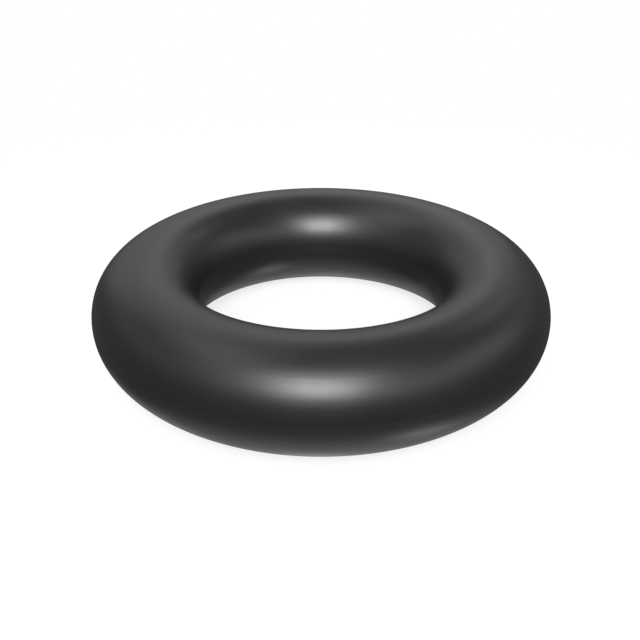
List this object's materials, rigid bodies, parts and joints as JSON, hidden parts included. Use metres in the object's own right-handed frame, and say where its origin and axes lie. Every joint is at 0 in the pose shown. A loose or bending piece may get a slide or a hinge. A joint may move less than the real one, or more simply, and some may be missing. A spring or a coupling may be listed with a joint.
{
  "type": "rubber o-ring",
  "caption": "Round-section black rubber sealing ring, made in one piece, that is stretched over a shaft or squeezed into a bore to close the gap.",
  "frame": {"origin": "centre of the ring, in the plane where the two halves of its mould met", "axes": "+Z along the ring's axis, X and Y across it in the parting plane"},
  "size_m": [0.0112, 0.0112, 0.0026],
  "materials": {
    "rubber": "smooth moulded black rubber with a soft satin shine"
  },
  "bodies": {
    "root": {"o_ring": "rubber"}
  },
  "joints": []
}
